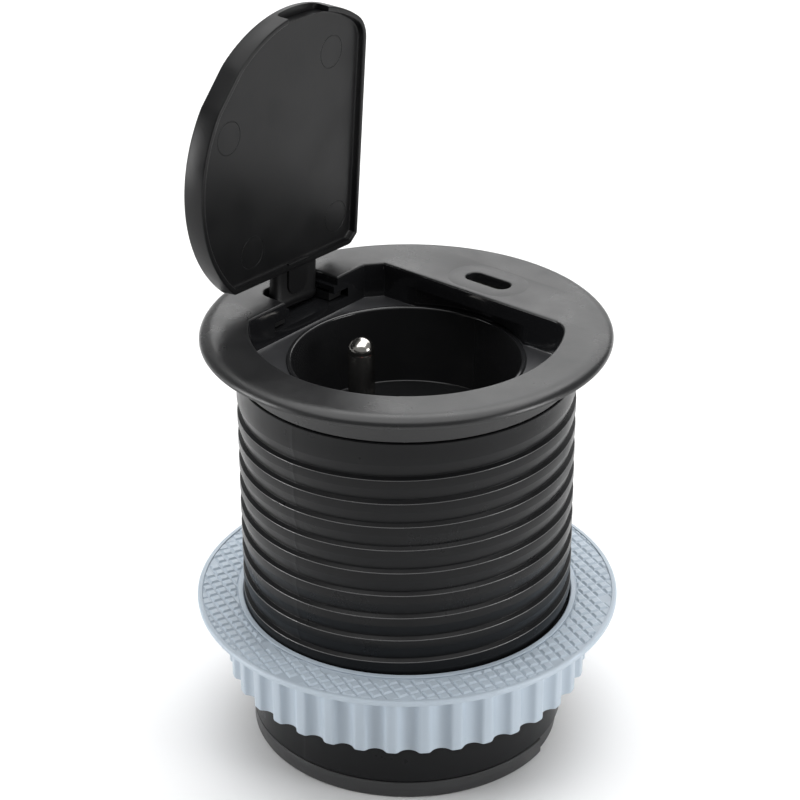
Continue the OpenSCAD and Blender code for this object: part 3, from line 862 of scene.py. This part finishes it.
def clamp_ring():
    """The ring that presses on the desk's underside, with its field of small pyramid-sided grip pads."""
    s = Shape()
    inner, outer = NECK_R + 0.05, RING_R
    bed = RING_TOP - PAD_RELIEF
    field = (inner + 0.08, outer - 0.8)
    profile = rounded([(inner, RING_BOT, 0), (outer, RING_BOT, 0.3), (outer, RING_TOP, 0.35),
                       (field[1] - 0.1, RING_TOP, 0.08), (field[1], bed, 0.05), (inner, bed, 0)])
    revolve(s, profile, 240)
    turn = Matrix.Rotation(math.radians(PAD_TURN), 2)
    reach = math.ceil(outer / PAD_PITCH)
    foot = PAD_PITCH / 2 - PAD_GROOVE
    for i in range(-reach, reach + 1):
        for j in range(-reach, reach + 1):
            centre = turn @ Vector(((i + PAD_SHIFT[0]) * PAD_PITCH, (j + PAD_SHIFT[1]) * PAD_PITCH))
            if not field[0] - 1.4 < centre.length < field[1] + 1.4:
                continue
            square = [centre + turn @ Vector(c) * foot for c in ((1, 1), (-1, 1), (-1, -1), (1, -1))]
            away = centre.normalized()
            square = clip(clip(square, away, field[1] + 0.05), -away, -field[0])
            if len(square) < 3:
                continue
            rows = [s.loop(flat(outline, z)) for outline, z in pad(square, bed)]
            if rows:
                s.prism(rows)
    return place(make("clamp_ring_pads", s, 28), MAT["nut"], "clamp_ring", "nut_plastic", "clamp_ring")


def inset(points, distance):
    """An outline's points moved in along its normals."""
    out = []
    count = len(points)
    for i in range(count):
        a, b = Vector(points[i - 1]), Vector(points[(i + 1) % count])
        along = (b - a).normalized()
        out.append((points[i][0] - along.y * distance, points[i][1] + along.x * distance))
    return out


def fluted():
    """Outline of the nut: round flutes with rounded ribs between them."""
    at, r, soft = NUT_R + 0.8, 2.0, 0.9
    turn = math.acos(((NUT_R - soft) ** 2 + at ** 2 - (r + soft) ** 2) / (2 * (NUT_R - soft) * at))
    centre = (NUT_R - soft) * Vector((math.cos(turn), math.sin(turn)))
    touch = (centre - Vector((at, 0))).normalized()
    swing = math.atan2(touch.y, -touch.x)
    half = [(at - r * math.cos(swing * k / 4), r * math.sin(swing * k / 4)) for k in range(5)]
    begin = math.atan2(-touch.y, -touch.x)
    half += [(centre.x + soft * math.cos(t), centre.y + soft * math.sin(t))
             for t in (begin + (turn - begin) * k / 4 for k in range(1, 5))]
    last = math.pi / FLUTES
    half.append((NUT_R * math.cos(last), NUT_R * math.sin(last)))
    period = [(x, -y) for x, y in reversed(half[1:-1])] + half
    points = []
    for i in range(FLUTES):
        rot = Matrix.Rotation(2 * math.pi * i / FLUTES, 2)
        points += [tuple(rot @ Vector(p)) for p in period]
    return points


def lock_nut():
    """The fluted nut; its neck comes up inside the clamp ring."""
    s = Shape()
    outline = fluted()
    shoulder = RING_BOT - 0.3
    soft = 0.45
    wall = [s.loop(flat(inset(outline, soft * (1 - math.cos(t))), NUT_BOT + soft - soft * math.sin(t)))
            for t in reversed(quarter(4))]
    wall = [s.loop(flat(inset(outline, soft + 0.25), NUT_BOT))] + wall
    wall.append(s.loop(flat(outline, shoulder)))
    s.skin(wall)
    neck = [(NECK_R, shoulder), (NECK_R, RING_TOP - 0.12), (NECK_R - 0.12, RING_TOP),
            (NUT_BORE + 0.2, RING_TOP), (NUT_BORE, RING_TOP - 0.2), (NUT_BORE, NUT_BOT + 0.4),
            (NUT_BORE + 0.4, NUT_BOT)]
    neck = revolve(s, neck, 180, closed=False)
    s.fill(wall[0], neck[-1])
    s.fill(wall[-1], neck[0])
    return place(make("fluted_nut", s, 40), MAT["nut"], "lock_nut", "nut_plastic", "lock_nut")


# -- lid -----------------------------------------------------------------------

LID_DEPTH = 4.2
LID_CORNERS = (5.4, 0.7, 0.7, 2.2)
LID_CLEAR = 0.45                        # extra room at the corner by the hinge
FLAT_AZ, FLAT_AT = -50.0, 26.4          # a flat stretch of the lid's round side: azimuth and distance
EJECTORS = ((8.3, -18.9), (-14.2, -11.9), (-14.1, 11.2), (17.3, 8.0))


def lid():
    """The hinged lid, made closed and then turned open: a dished cap with rim, finger notch and arm."""
    s = Shape()
    rim_z = TOP - LID_DEPTH
    recess_z = rim_z + 1.1
    back = SIDES[-1][1] - LID_GAP
    lean = 1.25 / LID_DEPTH             # the back side leans in, for room as the lid swings
    soft = 0.55

    def flatten(x, y, grow):
        """Brings the points beyond the flat stretch in to it."""
        ahead = math.hypot(x, y) * math.cos(math.atan2(y, x) - math.radians(FLAT_AZ))
        scale = min(1, (FLAT_AT + grow) / ahead) if ahead > 0 else 1
        return x * scale, y * scale

    def outline(grow, z, stop=0.0):
        radii = tuple(max(c + grow, 0.15) for c in LID_CORNERS)
        edge = max(-back + lean * (TOP - z) - grow, -back + stop)
        points = [flatten(x, y, grow) for x, y in opening(grow - LID_GAP, radii, clear=LID_CLEAR)]
        return s.loop([(max(x, edge), y, z) for x, y in points])

    top = [outline(-soft - 0.4, TOP)]
    top += [outline(-soft * (1 - math.sin(t)), TOP - soft + soft * math.cos(t)) for t in quarter(6)]
    rim = [outline(-0.25 * (1 - math.cos(t)), rim_z + 0.25 - 0.25 * math.sin(t)) for t in quarter(3)]
    rim += [outline(-0.95 + 0.25 * (1 - math.sin(t)), rim_z + 0.25 - 0.25 * math.cos(t), 2.2)
            for t in quarter(3)]
    floor = [outline(-1.05, recess_z - 0.25, 2.2), outline(-1.12, recess_z - 0.08, 2.27),
             outline(-1.3, recess_z, 2.45), outline(-1.6, recess_z, 2.75)]
    s.skin(top + rim + floor)
    s.fill(top[0])
    # marks that the mould's ejector pins leave in the recessed face
    marks = []
    for at in EJECTORS:
        ring = revolve(s, [(3.0, recess_z), (2.94, recess_z + 0.04), (2.86, recess_z + 0.04),
                           (2.8, recess_z)], 56, at, closed=False)
        s.fill(ring[-1])
        marks.append(ring[0])
    s.fill(floor[-1], *marks)
    obj = make("lid_shell", s)
    notch = Shape()
    box = rounded([(-5.4, rim_z - 1, 0), (5.4, rim_z - 1, 0), (5.4, rim_z + 2.9, 0.9),
                   (-5.4, rim_z + 2.9, 0.9)])
    notch.prism([notch.loop([(x, y, z) for y, z in box]) for x in (25.1, 30.0)])
    cut(obj, make("notch", notch))
    arm = Shape()
    r = 1.4
    knuckle = [(HINGE_AT.x + r * math.cos(t), HINGE_AT.z + r * math.sin(t))
               for t in (math.radians(52 + i * 256 / 18) for i in range(19))]
    side = [(-back + 2, HINGE_AT.z + 1.1)] + knuckle + [(-back + 2, HINGE_AT.z - 0.9)]
    rows = []
    ends = [(5.5, 0.3), (5.42, 0.5), (5.25, 0.68), (4.95, 0.83), (4.5, 0.94), (3.9, 1.0)]
    for along, grow in [(-a, g) for a, g in ends] + ends[::-1]:
        shift = HINGE_AXIS * along
        rows.append(arm.loop([(HINGE_AT.x + (x - HINGE_AT.x) * (1 if x > -25 else grow), shift.y,
                               HINGE_AT.z + (z - HINGE_AT.z) * grow + shift.z) for x, z in side]))
    arm.prism(rows)
    # a low U-shaped step on the arm's inner face
    face = HINGE_AT.z - 1.1
    tongue = rounded([(-back + 2.4, -2.65, 0), (-back + 2.4, 2.65, 0), (HINGE_AT.x + 1.2, 2.65, 2.2),
                      (HINGE_AT.x + 1.2, -2.65, 2.2)])
    arm.prism([arm.loop(flat(inset(tongue, -grow), z)) for grow, z in
               ((0, face + 0.4), (0, face - 0.04), (-0.06, face - 0.1))])
    arm_obj = make("lid_arm", arm)
    swing = Matrix.Translation(HINGE_AT * MM) @ Matrix.Rotation(math.radians(LID_OPEN), 4, -HINGE_AXIS)
    swing = swing @ Matrix.Translation(-HINGE_AT * MM)
    for part in (obj, arm_obj):
        part.data.transform(swing)
    place(arm_obj, MAT["lid"], "lid", "lid_plastic")
    return place(obj, MAT["lid"], "lid", "lid_plastic", "lid")


# -- pieces kept from the frame ------------------------------------------------

KEPT = {
    "hinge_pin": "nickel", "usb_shell": "nickel", "usb_tongue": "black", "usb_board": "board",
    "usb_leads": "insulation", "power_board": "board", "transformer": "tape", "capacitors": "sleeve",
    "choke": "ferrite", "fuse": "sleeve", "supply_leads": "insulation", "inner_frame": "frame",
    "flange_screws": "zinc", "tie_screws": "zinc", "board_screws": "zinc", "contact_carrier": "carrier",
    "earth_strap": "brass", "live_contact": "brass", "neutral_contact": "brass", "shutter": "shutter",
    "shutter_spring": "spring", "terminal_block": "terminal", "terminal_screws": "zinc",
}


def dress(node, material):
    """Gives a node of the frame its finish."""
    obj = frame["nodes"][node]
    obj.data.materials.clear()
    obj.data.materials.append(material)


for node_name, finish in KEPT.items():
    dress(node_name, MAT[finish])
flange()
well_liner()
socket_cup()
earth_pin()
barrel()
base_cover()
inlet_gland()
clamp_ring()
lock_nut()
lid()


# -- light and floor -----------------------------------------------------------

VIEW_TURN = 39.8                        # the camera's turn about the upright axis, in degrees
VIEW_DOWN, VIEW_YAW, VIEW_ROLL = 27.396, -0.168, -0.28
CAMERA_AT = (0.2338, -0.2807, 0.25355)  # in metres
LENS = 106.377                          # for a sensor 36 mm wide


def plain(name, colour, rough):
    n = Nodes(name)
    tone = n.range(n.noise(0.004, 2), 0.3, 0.7, 0, 1)
    n.set(Base_Color=n.mix(tone, colour, tuple(c * 0.985 for c in colour)), Roughness=rough)
    return n.material


def floor():
    """A pale sheet that lies under the object and rises in a wide curve behind it."""
    s = Shape()
    size, bend = 3000.0, 900.0
    away = [(-size, 0), (0, 0), (1200, 0)]
    away += [(1200 + bend * math.sin(t), bend - bend * math.cos(t)) for t in quarter(16)[1:]]
    away += [(1200 + bend, 3000)]
    rows = [s.loop([(x * size, y, z - 0.02) for x in (-1, 1)]) for y, z in away]
    s.skin(rows, closed=False)
    obj = make("floor", s)
    obj.data.transform(Matrix.Rotation(math.radians(VIEW_TURN), 4, "Z"))
    obj.data.materials.append(plain("floor_paper", (0.86, 0.86, 0.86), 0.9))


def area_light(name, azimuth, elevation, distance, size, watts):
    """A softbox that looks at the object's middle; azimuth is measured from the camera's side."""
    middle = Vector((0, 0, 0.055))
    a, e = math.radians(VIEW_TURN - 90 + azimuth), math.radians(elevation)
    way = Vector((math.cos(a) * math.cos(e), math.sin(a) * math.cos(e), math.sin(e)))
    light = bpy.data.lights.new(name, "AREA")
    light.shape, light.size, light.size_y = "RECTANGLE", size[0], size[1]
    light.energy = watts
    obj = bpy.data.objects.new(name, light)
    obj.location = middle + way * distance
    obj.rotation_mode = "QUATERNION"
    obj.rotation_quaternion = way.to_track_quat("Z", "Y")
    bpy.context.scene.collection.objects.link(obj)


def studio():
    world = bpy.data.worlds.new("studio")
    bpy.context.scene.world = world
    world.use_nodes = True
    back = world.node_tree.nodes["Background"]
    back.inputs["Color"].default_value = (1, 1, 1, 1)
    back.inputs["Strength"].default_value = 0.2
    area_light("top_box", 180, 84, 1.5, (2.2, 2.2), 34)
    area_light("back_box", 163, 42, 1.2, (1.2, 1.2), 7)
    area_light("right_box", 66, 4, 0.8, (0.3, 0.5), 4.4)
    area_light("left_box", -84, 4, 0.8, (0.3, 0.5), 4.5)
    bpy.context.scene.view_settings.view_transform = "Standard"


# -- camera ---------------------------------------------------------------------

def camera():
    """A long lens above the desk edge, level with the horizon to a fraction of a degree."""
    turn, down, yaw, roll = (math.radians(a) for a in (VIEW_TURN, VIEW_DOWN, VIEW_YAW, VIEW_ROLL))
    forward = Vector((math.sin(yaw) * math.cos(down), math.cos(yaw) * math.cos(down), -math.sin(down)))
    right = Vector((math.cos(yaw), -math.sin(yaw), 0))
    up = right.cross(forward)
    right, up = (math.cos(roll) * right + math.sin(roll) * up, math.cos(roll) * up - math.sin(roll) * right)
    matrix = Matrix((right, up, -forward)).transposed().to_4x4()
    cam = bpy.data.objects.new("camera", bpy.data.cameras.new("camera"))
    cam.matrix_world = Matrix.Translation(CAMERA_AT) @ Matrix.Rotation(turn, 4, "Z") @ matrix
    cam.data.sensor_width, cam.data.lens = 36, LENS
    cam.data.clip_start, cam.data.clip_end = 0.01, 10
    bpy.context.scene.collection.objects.link(cam)
    bpy.context.scene.camera = cam


floor()
studio()
camera()
